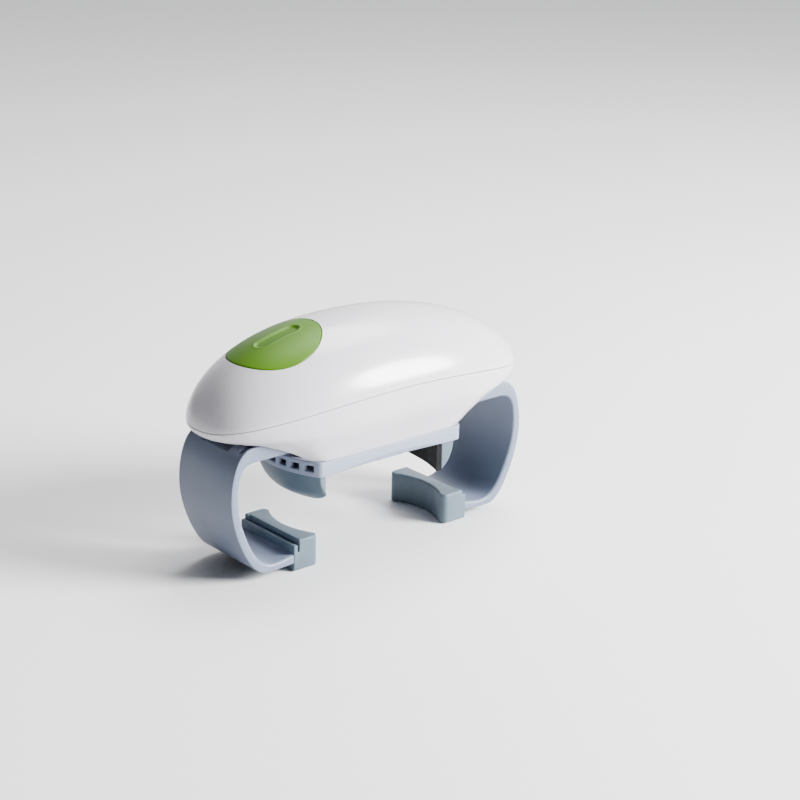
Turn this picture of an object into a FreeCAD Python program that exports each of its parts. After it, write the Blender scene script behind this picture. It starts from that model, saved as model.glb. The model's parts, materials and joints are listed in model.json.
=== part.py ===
import FreeCAD, Part
import math
import os

# One-button battery jar opener. Millimetres, +Z up, X along the long body.
# The origin is on the turntable's axis, in the plane of the arm grips' feet.
# The button is at the -X end, the battery bay at the +X end.

V = FreeCAD.Vector
Z_AXIS = V(0, 0, 1)

# ---- driving dimensions: body ----
LENGTH = 220.0
WIDTH = 92.0
TIP_Z = 86.5            # seam height at both ends of the body
SEAM_ARCH = 14.3        # how much the seam rises to the middle
DOME = 48.1             # crown height over the seam tips
WALL = 2.0
SEAM_GAP = 0.45
PLAN_X_POWER = 2.573
PLAN_Y_POWER = 2.3
CROWN_LEAN = 0.065      # shifts the crown towards the button end
CROWN_X_POWER = 2.209
CROWN_Z_POWER = 1.898
SECTION_Y_POWER = 2.05
SECTION_Z_POWER = 1.65

# ---- driving dimensions: skirt and turntable ----
SKIRT_Z = 63.5
BLOCK_R = 60.0          # round ends of the turntable block
BLOCK_HALF_W = 32.1
BLOCK_TOP = 63.2
BLOCK_BOTTOM = 54.5
BLOCK_WALL = 2.4
PLATE_Z = 56.7          # inner floor of the block
COVER_Z = 61.2
HUB_R = 17.0
SPINDLE_R = 6.0
JOURNAL_R = 3.0
RUNNING = 0.06          # radial clearance of a shaft in its bore

# ---- driving dimensions: arms and jaws ----
ARM_HALF_W = 24.8
STRAP_TOP = 79.0
STRAP_BOTTOM = 70.0
STRAP_END = 54.0        # inner end of the wide strap
SLOT_HALF_W = 25.6
SLOT_BOTTOM = 65.8
SLOT_TOP = 79.6
JAW_TOP = 54.0
JAW_BOTTOM = 36.6
JAW_HALF_W = 29.2
JAW_TWIST = -7.0        # the jaws are set a little round from their slide line

# ---- driving dimensions: button ----
BUTTON_X = -58.5
BUTTON_RX = 26.5
BUTTON_RY = 25.3
BUTTON_GAP = 0.45
STEM_R = 4.0

# ---- driving dimensions: gears ----
ARM_RACK_Y = 12.0       # pitch radius of the arm pinion
LID_RACK_Y = 8.0        # pitch radius of the lid pinion
SLOW_XY = (18.0, -24.0)
FAST_XY = (28.83, -6.24)
MOTOR_XY = (14.59, 5.41)
LEVEL_A = (82.6, 87.6)  # drive gear and slow pinion
LEVEL_B = (88.4, 91.4)  # slow wheel and fast pinion
LEVEL_C = (92.4, 94.9)  # fast wheel and motor pinion
PLATE_LOW = (79.8, 81.8)
PLATE_HIGH = (97.0, 99.0)


# ---------------------------------------------------------------- helpers
def box(x0, x1, y0, y1, z0, z1):
    return Part.makeBox(x1 - x0, y1 - y0, z1 - z0, V(x0, y0, z0))


def cyl(x, y, z0, z1, r):
    return Part.makeCylinder(r, z1 - z0, V(x, y, z0))


def ring(x, y, z0, z1, r_in, r_out):
    return cyl(x, y, z0, z1, r_out).cut(cyl(x, y, z0 - 1, z1 + 1, r_in))


def prism(points, z0, z1):
    """Upright prism over a polygon in plan."""
    corners = [V(x, y, z0) for x, y in points]
    return Part.Face(Part.makePolygon(corners + corners[:1])).extrude(V(0, 0, z1 - z0))


def fuse(shapes):
    first = shapes[0]
    return first.fuse(shapes[1:]).removeSplitter() if len(shapes) > 1 else first


def half_turn(shape):
    """The same piece on the other side of the turntable's axis."""
    other = shape.copy()
    other.rotate(V(0, 0, 0), Z_AXIS, 180)
    return other


def ellipse_prism(rx, ry, z0, z1):
    curve = Part.Ellipse(V(BUTTON_X, 0, z0), rx, ry)
    face = Part.Face(Part.Wire(curve.toShape()))
    return face.extrude(V(0, 0, z1 - z0))


def spline(points):
    curve = Part.BSplineCurve()
    curve.interpolate([V(*p) for p in points])
    return curve.toShape()


def line(a, b):
    return Part.makeLine(V(*a), V(*b))


def screw(x, y, head_z, length, shank_r, head_r, head_h, up=1):
    """Pan head at head_z, shank running from it; up=1 means that the shank points up."""
    head = cyl(x, y, min(head_z, head_z - up * head_h), max(head_z, head_z - up * head_h), head_r)
    shank = cyl(x, y, min(head_z, head_z + up * length), max(head_z, head_z + up * length), shank_r)
    face_z = head_z - up * head_h
    slot_a = box(x - head_r * 0.6, x + head_r * 0.6, y - 0.3, y + 0.3, face_z - 0.5, face_z + 0.5)
    slot_b = box(x - 0.3, x + 0.3, y - head_r * 0.6, y + head_r * 0.6, face_z - 0.5, face_z + 0.5)
    return head.fuse(shank).cut(slot_a).cut(slot_b)


# ---------------------------------------------------------------- body surface
def seam_z(x):
    u = x / (LENGTH / 2)
    return TIP_Z + SEAM_ARCH * (1 - u * u)


def section(x, inset, skirt):
    """Cross-section of the body at x: a flattened arch on a short straight skirt."""
    half_length = LENGTH / 2 - inset
    u = max(-1.0, min(1.0, x / half_length))
    w = (WIDTH / 2 - inset) * (1 - abs(u) ** PLAN_X_POWER) ** (1 / PLAN_Y_POWER)
    lean = u + CROWN_LEAN * (1 - u * u)
    crown = TIP_Z + (DOME - inset) * (1 - min(1.0, abs(lean)) ** CROWN_X_POWER) ** (1 / CROWN_Z_POWER)
    base = min(seam_z(x), crown - 0.05)
    steps = 16
    points = []
    for i in range(steps + 1):
        v = -math.cos(math.pi * i / steps)
        rise = (1 - abs(v) ** SECTION_Y_POWER) ** (1 / SECTION_Z_POWER)
        points.append(V(x, w * v, base + (crown - base) * rise))
    arch = Part.BSplineCurve()
    arch.interpolate(Points=points, Parameters=[i / steps for i in range(steps + 1)])
    low = base - skirt
    a = V(x, -w, base)
    b = V(x, w, base)
    c = V(x, w, low)
    d = V(x, -w, low)
    return Part.Wire([arch.toShape(), Part.makeLine(b, c), Part.makeLine(c, d), Part.makeLine(d, a)])


def body_solid(inset, skirt=6.0):
    """The whole domed body above the seam, with its skirt below it."""
    half_length = LENGTH / 2 - inset
    steps = 13
    turns = [math.pi / 2 * i / steps for i in range(1, steps + 1)]
    xs = [half_length * math.cos(t) ** (2 / PLAN_X_POWER) for t in turns[:-1]]
    stations = [half_length - 1e-4] + xs
    stations = stations + [0.0] + [-x for x in reversed(stations)]
    return Part.makeLoft([section(x, inset, skirt) for x in stations], True, False)


def above_seam(offset):
    """Everything above the arched seam surface, moved up by offset."""
    reach = LENGTH / 2 + 20
    end_z = seam_z(reach) + offset
    peak_z = 2 * (seam_z(0) + offset) - end_z
    arch = Part.BezierCurve()
    arch.setPoles([V(-reach, -70, end_z), V(0, -70, peak_z), V(reach, -70, end_z)])
    top = 220.0
    edges = [arch.toShape(), line((reach, -70, end_z), (reach, -70, top)),
             line((reach, -70, top), (-reach, -70, top)), line((-reach, -70, top), (-reach, -70, end_z))]
    return Part.Face(Part.Wire(edges)).extrude(V(0, 140, 0))


# Skirt rings from the seam down: how far in towards the block's outline (0 to 1), height at the
# tips, height at the middle of the sides, and how quickly one turns into the other.
SKIRT_RINGS = [
    (0.0, 86.5, 100.8, 1.0), (0.012, 84.3, 96.5, 0.8), (0.045, 82.4, 91.5, 0.6),
    (0.10, 81.1, 87.2, 0.45), (0.20, 79.5, 83.2, 0.35), (0.35, 76.7, 79.0, 0.3),
    (0.55, 72.7, 74.4, 0.3), (0.75, 68.6, 69.9, 0.3), (0.92, 65.0, 65.6, 0.3), (1.0, 63.5, 63.5, 0.3)]
RING_POINTS = 96


def plan_radius(theta, inset):
    """Polar radius of the body's plan outline."""
    c = abs(math.cos(theta))
    s = abs(math.sin(theta))
    low = 0.0
    high = LENGTH / 2
    for _ in range(50):
        r = (low + high) / 2
        along = (r * c / (LENGTH / 2 - inset)) ** PLAN_X_POWER
        across = (r * s / (WIDTH / 2 - inset)) ** PLAN_Y_POWER
        if along + across > 1:
            high = r
        else:
            low = r
    return low


def block_radius(theta, inset):
    """Polar radius of the block's outline: a disc with two flats and softened corners."""
    flat = (BLOCK_HALF_W - inset) / max(abs(math.sin(theta)), 1e-6)
    sharp = 16
    return ((BLOCK_R - inset) ** -sharp + flat ** -sharp) ** (-1 / sharp)


def skirt_ring(share, z_end, z_side, power, inset, lift):
    points = []
    for i in range(RING_POINTS):
        t = 2 * math.pi * i / RING_POINTS
        theta = math.atan2(WIDTH * math.sin(t), LENGTH * math.cos(t))
        top = plan_radius(theta, inset)
        r = top + share * (block_radius(theta, inset) - top)
        reach = min(1.0, abs(top * math.cos(theta)) / (LENGTH / 2)) ** 2
        z = z_side + (z_end - z_side) * reach ** power + lift
        points.append(V(r * math.cos(theta), r * math.sin(theta), z))
    curve = Part.BSplineCurve()
    parameters = [i / RING_POINTS for i in range(RING_POINTS + 1)]
    curve.interpolate(Points=points, PeriodicFlag=True, Parameters=parameters)
    return Part.Wire(curve.toShape())


def skirt_solid(inset, lift):
    """The lower half of the body, from a flat plane above the seam down to the block's outline."""
    cap_z = seam_z(0) + 12
    cap = skirt_ring(0.0, cap_z, cap_z, 1.0, inset, 0.0)
    rings = []
    for n, (share, z_end, z_side, power) in enumerate(SKIRT_RINGS):
        rings.append(skirt_ring(share, z_end, z_side, power, inset, lift * min(1.0, n / 4)))
    faces = Part.makeLoft([cap, rings[0]], False, True).Faces + Part.makeLoft(rings, False, False).Faces
    shell = Part.Shell(faces + [Part.Face(cap), Part.Face(rings[-1])])
    shell.sewShape()
    solid = Part.Solid(shell)
    return solid if solid.Volume > 0 else solid.reversed()


# ---------------------------------------------------------------- gears
def involute(angle):
    return math.tan(angle) - angle


def gear(teeth, module, x, y, z0, z1, phase, backlash=0.1):
    """Spur gear with one tooth centred on the direction phase (radians)."""
    pitch_r = teeth * module / 2
    base_r = pitch_r * math.cos(math.radians(20))
    tip_r = pitch_r + 0.85 * module
    root_r = pitch_r - 1.25 * module
    half_pitch = math.pi / (2 * teeth) + involute(math.radians(20)) - backlash / (2 * pitch_r)

    def half_angle(r):
        return half_pitch - involute(math.acos(min(1.0, base_r / r)))

    foot_r = max(base_r, root_r)
    flank = [(foot_r + (tip_r - foot_r) * k / 3) for k in range(4)]
    radii = ([root_r] if root_r < base_r else []) + flank
    points = []
    for n in range(teeth):
        centre = phase + 2 * math.pi * n / teeth
        for r in radii:
            a = centre - half_angle(max(r, base_r))
            points.append((x + r * math.cos(a), y + r * math.sin(a)))
        for r in reversed(radii):
            a = centre + half_angle(max(r, base_r))
            points.append((x + r * math.cos(a), y + r * math.sin(a)))
    return prism(points, z0, z1)


def rack_bar(pitch_y, module, bar_y, z0, z1, x_tip, x_root, toothed_to, backlash=0.1):
    """Rack with its teeth facing -Y; pitch line at pitch_y, a gap centred on x = 0."""
    pitch = math.pi * module
    slope = math.tan(math.radians(20))
    half_tip = pitch / 4 - backlash / 2 - 0.85 * module * slope
    half_root = pitch / 4 - backlash / 2 + 1.25 * module * slope
    tip_y = pitch_y - 0.85 * module
    root_y = pitch_y + 1.25 * module
    points = [(x_tip, bar_y), (x_tip, root_y)]
    centre = (math.ceil(x_tip / pitch - 0.5) + 0.5) * pitch
    while centre + half_root < toothed_to:
        if centre - half_root > x_tip:
            points += [(centre - half_root, root_y), (centre - half_tip, tip_y),
                       (centre + half_tip, tip_y), (centre + half_root, root_y)]
        centre += pitch
    points += [(x_root, root_y), (x_root, bar_y)]
    return prism(points, z0, z1)


def facing_phase(from_xy, to_xy, teeth, tooth):
    """Phase that turns a tooth (or a gap) of the gear at from_xy towards to_xy."""
    angle = math.atan2(to_xy[1] - from_xy[1], to_xy[0] - from_xy[0])
    return angle if tooth else angle + math.pi / teeth


# ---------------------------------------------------------------- shells
HOUSING_BOSSES = [(96.0, 19.5), (96.0, -19.5), (-96.0, 19.5), (-96.0, -19.5)]
FRAME_BOSSES = [(-24.0, 28.5), (-24.0, -28.5), (30.0, 28.5), (30.0, -28.5)]
GUIDE_POSTS = [(-52.0, 31.0), (-52.0, -31.0)]
GUIDE_Z = 105.0
BOARD_Z = 90.0
BAY = (47.0, 100.0)     # battery bay along X
DOOR_TILT = 45.0
DOOR_CENTRE = V(71.0, 31.0, 108.0)
DOOR_SIZE = (40.0, 17.0)


def door_prism(grow):
    """Tilted block that cuts the battery opening in the shoulder of the far side."""
    length = DOOR_SIZE[0] + 2 * grow
    height = DOOR_SIZE[1] + 2 * grow
    block = Part.makeBox(length, height, 40, V(-length / 2, -height / 2, -20))
    upright = [e for e in block.Edges if abs(e.tangentAt(e.FirstParameter).z) > 0.9]
    block = block.makeFillet(3.0 + grow, upright)
    block.rotate(V(0, 0, 0), V(1, 0, 0), -DOOR_TILT)
    block.translate(DOOR_CENTRE)
    return block


def upper_shell(outer, inner):
    shell = outer.cut(inner).common(above_seam(SEAM_GAP / 2))
    for x, y in HOUSING_BOSSES:
        boss = cyl(x, y, TIP_Z, TIP_Z + 40, 3.4).common(outer).common(above_seam(SEAM_GAP / 2))
        shell = shell.fuse(boss)
    for x, y in HOUSING_BOSSES:
        shell = shell.cut(cyl(x, y, TIP_Z - 10, 99.0, 1.45))
    hole = ellipse_prism(BUTTON_RX + BUTTON_GAP, BUTTON_RY + BUTTON_GAP, 100, 150)
    shell = shell.cut(hole)
    return shell.cut(door_prism(0.35)).removeSplitter()


def lower_shell(outer, inner):
    below = box(-130, 130, -60, 60, 0, 130).cut(above_seam(-SEAM_GAP / 2))
    hollow = inner.cut(box(-130, 130, -60, 60, 0, SKIRT_Z + WALL))
    shelf = box(46, 104, -27, 27, SLOT_TOP, SLOT_TOP + 1.8)
    adds = [shelf, half_turn(shelf)]
    cuts = [cyl(0, 0, 60, 70, HUB_R + 2.5)]
    for x, y in HOUSING_BOSSES:
        adds.append(cyl(x, y, 78, 100, 3.9))
        cuts += [cyl(x, y, 70, 84.0, 2.9), cyl(x, y, 83, 100, 1.5)]
    for x, y in FRAME_BOSSES:
        adds.append(cyl(x, y, SKIRT_Z + 1, PLATE_LOW[0], 3.0))
        cuts.append(cyl(x, y, 69.8, PLATE_LOW[0] + 1, 1.2))
    for x, y in GUIDE_POSTS:
        adds.append(cyl(x, y, SKIRT_Z + 1, BOARD_Z, 3.6))
    shell = outer.cut(hollow).common(below)
    shell = shell.fuse([a.common(outer).common(below) for a in adds])
    slot = box(50, 118, -SLOT_HALF_W, SLOT_HALF_W, SLOT_BOTTOM, SLOT_TOP)
    shell = shell.cut(slot).cut(half_turn(slot))
    shell = shell.fuse([cyl(x, y, BOARD_Z - 4, GUIDE_Z, 2.2) for x, y in GUIDE_POSTS])
    cuts += [cyl(x, y, GUIDE_Z - 8, GUIDE_Z + 1, 1.0) for x, y in GUIDE_POSTS]
    return shell.cut(cuts)


# ---------------------------------------------------------------- button
def button(outer, inner_cap, inner_skirt):
    cap = outer.cut(inner_cap).common(ellipse_prism(BUTTON_RX, BUTTON_RY, 100, 150))
    bore = ellipse_prism(BUTTON_RX - 1.6, BUTTON_RY - 1.6, 99, 151)
    tube = ellipse_prism(BUTTON_RX, BUTTON_RY, 100, 150).cut(bore)
    skirt = tube.common(outer.cut(inner_skirt))
    stem = cyl(BUTTON_X, 0, 99.0, 150, STEM_R).common(outer)
    cap = fuse([cap, skirt, stem])
    dimple = Part.makeSphere(26.0, V(BUTTON_X - 2, 0, 153.2))
    return cap.cut(dimple).cut(ring(BUTTON_X, 0, 103.4, 104.4, STEM_R - 0.8, STEM_R + 2))


def button_spring():
    """Coil round the stem, between the guide and the button's underside."""
    helix = Part.makeHelix(2.4, 9.6, 6.6)
    profile = Part.Wire(Part.makeCircle(0.55, V(6.6, 0, 0), V(0, 1, 0)))
    coil = Part.Wire(helix.Edges).makePipeShell([profile], True, True)
    coil.translate(V(BUTTON_X, 0, GUIDE_Z + 9.2))
    return coil


def button_guide():
    outline = [(-72, -10), (-58, -35), (-46, -35), (-46, 35), (-58, 35), (-72, 10)]
    plate = prism(outline, GUIDE_Z, GUIDE_Z + 2)
    guide = fuse([plate, cyl(BUTTON_X, 0, GUIDE_Z, GUIDE_Z + 8.6, 7.8)])
    guide = guide.cut(cyl(BUTTON_X, 0, GUIDE_Z - 1, GUIDE_Z + 10, STEM_R + RUNNING))
    for x, y in GUIDE_POSTS:
        guide = guide.cut(cyl(x, y, GUIDE_Z - 1, GUIDE_Z + 3, 1.2))
    return guide


def circuit_board():
    outline = [(-76, -18), (-66, -33.5), (-40, -33.5), (-36, -28),
               (-36, 28), (-40, 33.5), (-66, 33.5), (-76, 18)]
    board = prism(outline, BOARD_Z, BOARD_Z + 1.6)
    for x, y in GUIDE_POSTS:
        board = board.cut(cyl(x, y, BOARD_Z - 1, BOARD_Z + 3, 2.3))
    return board


def board_parts():
    z = BOARD_Z + 1.6
    chip = box(-48, -41, -6, 6, z, z + 1.6)
    relay = box(-72, -66, -10, 6, z, z + 7)
    cap_a = cyl(-43, 14, z, z + 9, 3.0)
    cap_b = cyl(-43, -14, z, z + 7, 2.5)
    plug = box(-66, -60, 22, 30, z, z + 5)
    return Part.Compound([chip, relay, cap_a, cap_b, plug])


def switch_case():
    z = BOARD_Z + 1.6
    case = box(BUTTON_X - 4, BUTTON_X + 4, -4, 4, z, z + 4.6)
    return case.cut(cyl(BUTTON_X, 0, z + 1.2, z + 6, 1.5 + RUNNING))


def switch_plunger():
    return fuse([cyl(BUTTON_X, 0, 95.1, 98.9, 1.5), cyl(BUTTON_X, 0, 98.3, 98.9, 2.4)])


# ---------------------------------------------------------------- turntable
def block_outline(inset, z0, z1, corner):
    disc = cyl(0, 0, z0, z1, BLOCK_R - inset)
    body = disc.common(box(-70, 70, -BLOCK_HALF_W + inset, BLOCK_HALF_W - inset, z0, z1))
    upright = [e for e in body.Edges if abs(e.Length - (z1 - z0)) < 1e-6 and abs(e.Vertexes[0].X) > 10]
    return body.makeFillet(corner, upright)


COVER_SCREWS = [(30.0, 27.4), (30.0, -27.4), (-30.0, 27.4), (-30.0, -27.4)]
WINDOW_PITCH = 8.5
WINDOW_W = 5.6


def side_scoop():
    """Long shallow arch along the bottom edge of a flat side, leaning inwards."""
    half = 46.0
    rise = 3.4
    y = -BLOCK_HALF_W - 0.6
    z = BLOCK_BOTTOM
    arch = Part.Arc(V(-half, y, z), V(0, y, z + rise + 0.9), V(half, y, z)).toShape()
    face = Part.Face(Part.Wire([arch, line((half, y, z), (-half, y, z))]))
    lean = V(0, 2.6, -3.9)
    return face.extrude(lean)


def turntable_block():
    body = block_outline(0, BLOCK_BOTTOM, BLOCK_TOP, 3.5)
    body = body.cut(block_outline(BLOCK_WALL, PLATE_Z, BLOCK_TOP + 1, 2.0))
    for x, y in COVER_SCREWS:
        body = body.fuse(cyl(x, y, PLATE_Z, COVER_Z, 2.4).common(block_outline(0.5, PLATE_Z, COVER_Z, 2.0)))
    neck_slot = box(15.4, 54.4, 9.9, 14.9, BLOCK_BOTTOM - 1, PLATE_Z + 1)
    guide_slot = box(15.4, 54.4, -23.4, -18.6, BLOCK_BOTTOM - 1, PLATE_Z + 1)
    for tool in (neck_slot, guide_slot, side_scoop()):
        body = body.cut(tool).cut(half_turn(tool))
    for n in range(-3, 4):
        y = n * WINDOW_PITCH
        body = body.cut(box(-70, 70, y - WINDOW_W / 2, y + WINDOW_W / 2, PLATE_Z + 0.5, COVER_Z - 0.4))
    for x, y in COVER_SCREWS:
        body = body.cut(cyl(x, y, BLOCK_BOTTOM - 1, BLOCK_BOTTOM + 2.0, 2.2))
        body = body.cut(cyl(x, y, BLOCK_BOTTOM, 62, 1.1))
    return body.cut(cyl(0, 0, BLOCK_BOTTOM - 1, 58, JOURNAL_R)).removeSplitter()


def turntable_cover():
    plate = block_outline(BLOCK_WALL, COVER_Z, BLOCK_TOP, 2.0)
    cover = fuse([plate, cyl(0, 0, COVER_Z, 69.2, HUB_R)])
    cover = cover.cut(cyl(0, 0, COVER_Z - 1, 80, SPINDLE_R))
    for x, y in COVER_SCREWS:
        cover = cover.cut(cyl(x, y, COVER_Z - 1, COVER_Z + 1.6, 1.1))
    return cover


def spindle():
    return fuse([cyl(0, 0, BLOCK_BOTTOM + 0.4, COVER_Z, JOURNAL_R), cyl(0, 0, COVER_Z, 98.8, SPINDLE_R)])


def drive_gear():
    wheel = gear(48, 1.0, 0, 0, *LEVEL_A, facing_phase((0, 0), SLOW_XY, 48, True))
    wheel = fuse([wheel, cyl(0, 0, 82.0, 88.0, 9.0)])
    for n in range(5):
        a = 2 * math.pi * (n + 0.5) / 5
        wheel = wheel.cut(cyl(15.5 * math.cos(a), 15.5 * math.sin(a), 80, 90, 4.2))
    return wheel.cut(cyl(0, 0, 80, 90, SPINDLE_R))


# ---------------------------------------------------------------- gear train
def compound_gear(xy, wheel, pinion, hub_r):
    """wheel and pinion: (teeth, module, level, phase)."""
    parts = [gear(teeth, module, *xy, *level, phase) for teeth, module, level, phase in (wheel, pinion)]
    parts.append(cyl(*xy, 82.0, 96.6, hub_r))
    return fuse(parts).cut(cyl(*xy, 80, 99, 1.5 + RUNNING))


def slow_gear():
    wheel = (40, 0.8, LEVEL_B, facing_phase(SLOW_XY, FAST_XY, 40, True))
    pinion = (12, 1.0, LEVEL_A, facing_phase(SLOW_XY, (0, 0), 12, False))
    return compound_gear(SLOW_XY, wheel, pinion, 3.6)


def fast_gear():
    wheel = (36, 0.8, LEVEL_C, facing_phase(FAST_XY, MOTOR_XY, 36, True))
    pinion = (12, 0.8, LEVEL_B, facing_phase(FAST_XY, SLOW_XY, 12, False))
    return compound_gear(FAST_XY, wheel, pinion, 3.0)


def motor_pinion():
    body = gear(10, 0.8, *MOTOR_XY, *LEVEL_C, facing_phase(MOTOR_XY, FAST_XY, 10, False))
    return body.cut(cyl(*MOTOR_XY, 90, 99, 1.0))


def motor_can():
    x, y = MOTOR_XY
    can = cyl(x, y, 99.0, 124.0, 12.0)
    can = can.makeFillet(1.2, [e for e in can.Edges if len(e.Vertexes) == 1])
    can = fuse([can, cyl(x, y, 97.2, 99.5, 3.1), cyl(x, y, 123.5, 125.6, 3.2)])
    return can.cut(cyl(x, y, 96, 112, 1.0 + RUNNING))


PILLARS = [(-26.0, -22.0), (-26.0, 21.0), (41.0, -24.0), (40.0, 20.0)]


def gear_plate(level, bores):
    z0, z1 = level
    plate = box(-31, 44, -32, 32, z0, z1)
    plate = plate.makeFillet(4.0, [e for e in plate.Edges if abs(e.tangentAt(e.FirstParameter).z) > 0.9])
    plate = plate.cut(cyl(0, 0, z0 - 1, z1 + 1, 8.0))
    for x, y in (SLOW_XY, FAST_XY):
        plate = plate.cut(cyl(x, y, z0 - 1, z1 + 1, 1.5))
    for x, y, r in bores:
        plate = plate.cut(cyl(x, y, z0 - 1, z1 + 1, r))
    return plate


def gear_plates():
    low = gear_plate(PLATE_LOW, [(x, y, 1.2) for x, y in FRAME_BOSSES])
    high = gear_plate(PLATE_HIGH, [(x, y, 1.2) for x, y in PILLARS] + [(*MOTOR_XY, 3.3)])
    return low, high


def plate_pillars():
    return Part.Compound([ring(x, y, PLATE_LOW[1], PLATE_HIGH[0], 1.2, 2.6) for x, y in PILLARS])


# ---------------------------------------------------------------- arms
# The band's two sides in side view, from the strap down to the foot.
ARM_OUTER = [(90.0, STRAP_TOP), (94.6, 78.1), (99.2, 74.6), (102.6, 68.4), (104.8, 60.0), (105.6, 52.0),
             (105.2, 43.6), (103.5, 35.0), (100.6, 26.2), (96.6, 17.6), (91.8, 10.0), (86.6, 5.4),
             (81.0, 3.9)]
ARM_INNER = [(90.0, STRAP_BOTTOM), (94.6, 68.9), (98.0, 65.6), (99.8, 60.2), (100.4, 53.0), (100.0, 44.8),
             (98.2, 36.2), (95.2, 27.8), (91.6, 20.0), (87.4, 13.6), (82.4, 9.6), (76.4, 8.2), (66.5, 9.4)]


def arm_profile():
    """Side view of the right arm: strap, curved band and foot."""
    outer = spline([(x, 0, z) for x, z in ARM_OUTER])
    inner = spline([(x, 0, z) for x, z in reversed(ARM_INNER)])
    edges = [line((STRAP_END, 0, STRAP_TOP), (90, 0, STRAP_TOP)), outer,
             line((81.0, 0, 3.9), (63.6, 0, 4.5)), line((63.6, 0, 4.5), (63.6, 0, 10.3)),
             line((63.6, 0, 10.3), (66.5, 0, 9.4)), inner,
             line((90, 0, STRAP_BOTTOM), (STRAP_END, 0, STRAP_BOTTOM)),
             line((STRAP_END, 0, STRAP_BOTTOM), (STRAP_END, 0, STRAP_TOP))]
    return Part.Face(Part.Wire(edges))


def rail(grow):
    """Tongue on the arm's end that carries the grip."""
    return box(58.6 - grow, 63.6, -19 - grow, 19 + grow, 5.4 - grow, 9.4 + grow)


def arm():
    body = arm_profile().extrude(V(0, 2 * ARM_HALF_W, 0))
    body.translate(V(0, -ARM_HALF_W, 0))
    body = body.cut(box(70, 112, -12.5, 12.5, 75.0, 90))
    for side in (-1, 1):
        y0, y1 = sorted((side * 19.5, side * 23.4))
        body = body.cut(box(70, 112, y0, y1, 76.0, 90))
    body = body.cut(box(STRAP_END - 1, 66, 13.25, 20.0, STRAP_BOTTOM - 1, 75.0))
    body = body.cut(box(STRAP_END - 1, 66.6, -20.8, -10.4, STRAP_BOTTOM - 1, 75.8))
    return fuse([body, rail(0)])


def arm_rack():
    return rack_bar(ARM_RACK_Y, 1.0, 20.0, 70.7, 75.0, -9.0, 66.0, 37.0)


def arm_pinion():
    body = gear(24, 1.0, 0, 0, 70.9, 74.8, math.pi / 2)
    body = fuse([body, cyl(0, 0, 69.5, 79.5, 8.0)])
    return body.cut(cyl(0, 0, 69, 80, SPINDLE_R + RUNNING))


def arm_pad():
    """Rubber grip: concave front, rounded ends, a groove for the rail and a long slot."""
    half = 25.0
    arc = Part.Arc(V(46.6, -20.8, 0), V(52.3, 0, 0), V(46.6, 20.8, 0)).toShape()
    near = Part.Arc(V(46.6, -20.8, 0), V(47.4, -23.8, 0), V(50.4, -half, 0)).toShape()
    far = Part.Arc(V(46.6, 20.8, 0), V(47.4, 23.8, 0), V(50.4, half, 0)).toShape()
    edges = [arc, far, line((50.4, half, 0), (63.6, half, 0)), line((63.6, half, 0), (63.6, -half, 0)),
             line((63.6, -half, 0), (50.4, -half, 0)), near]
    body = Part.Face(Part.Wire(Part.__sortEdges__(edges))).extrude(V(0, 0, 18.0))
    rim = [e for e in body.Edges if e.CenterOfMass.z > 17.9 and e.CenterOfMass.x < 60]
    body = body.makeFillet(1.3, rim)
    body = body.cut(box(61.0, 70, -40, 40, 15.0, 30))
    body = body.cut(box(59.8, 61.0, -21.5, 40, 10.6, 30))
    return body.cut(rail(0))


# ---------------------------------------------------------------- lid jaws
def bowl():
    """Solid of revolution that rounds the jaws' outer faces."""
    side = spline([(57.0, 0, JAW_TOP), (56.6, 0, 50.2), (55.5, 0, 45.8), (53.5, 0, 41.6),
                   (50.9, 0, 38.4), (47.5, 0, JAW_BOTTOM)])
    edges = [side, line((47.5, 0, JAW_BOTTOM), (0, 0, JAW_BOTTOM)),
             line((0, 0, JAW_BOTTOM), (0, 0, JAW_TOP)),
             line((0, 0, JAW_TOP), (57.0, 0, JAW_TOP))]
    return Part.Face(Part.Wire(edges)).revolve(V(0, 0, 0), Z_AXIS, 360)


def shallow_arc(x_mid, x_end, half, x_back, z0, z1):
    """Prism with a shallow concave front towards the axis."""
    arc = Part.Arc(V(x_end, -half, z0), V(x_mid, 0, z0), V(x_end, half, z0)).toShape()
    edges = [arc, line((x_end, half, z0), (x_back, half, z0)), line((x_back, half, z0), (x_back, -half, z0)),
             line((x_back, -half, z0), (x_end, -half, z0))]
    return Part.Face(Part.Wire(edges)).extrude(V(0, 0, z1 - z0))


def twisted(shape):
    shape.rotate(V(0, 0, 0), Z_AXIS, JAW_TWIST)
    return shape


def lid_jaw():
    """Right jaw: rounded outside, shallow concave inside, with its guide foot up into the block."""
    claw = twisted(shallow_arc(44.0, 40.4, 36.0, 70.0, JAW_BOTTOM - 1, JAW_TOP + 1))
    claw = claw.common(bowl()).common(box(0, 70, -JAW_HALF_W, JAW_HALF_W, 30, 60))
    foot = fuse([box(43, 51, -23.0, -19.0, JAW_TOP - 1, 57.2), box(36, 48.8, -24.2, -17.8, 57.1, 60.5)])
    return fuse([claw, foot])


def lid_pad():
    """Ribbed rubber pad on the jaw's inner face."""
    body = shallow_arc(42.0, 38.6, 26.0, 50.0, JAW_BOTTOM + 1.2, JAW_TOP - 0.6)
    body = body.cut(shallow_arc(44.0, 40.4, 36.0, 70.0, JAW_BOTTOM, JAW_TOP + 1))
    for n in range(-8, 9):
        y = n * 3.0
        body = body.cut(cyl(41.1 - 0.0047 * y * y, y, JAW_BOTTOM, JAW_TOP + 1, 0.75))
    return twisted(body)


def lid_slide():
    bar = rack_bar(LID_RACK_Y, 1.0, 14.6, 57.1, 60.5, -9.0, 51.0, 37.0)
    return fuse([bar, box(43, 51, 10.2, 14.6, JAW_TOP, 57.2)])


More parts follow.
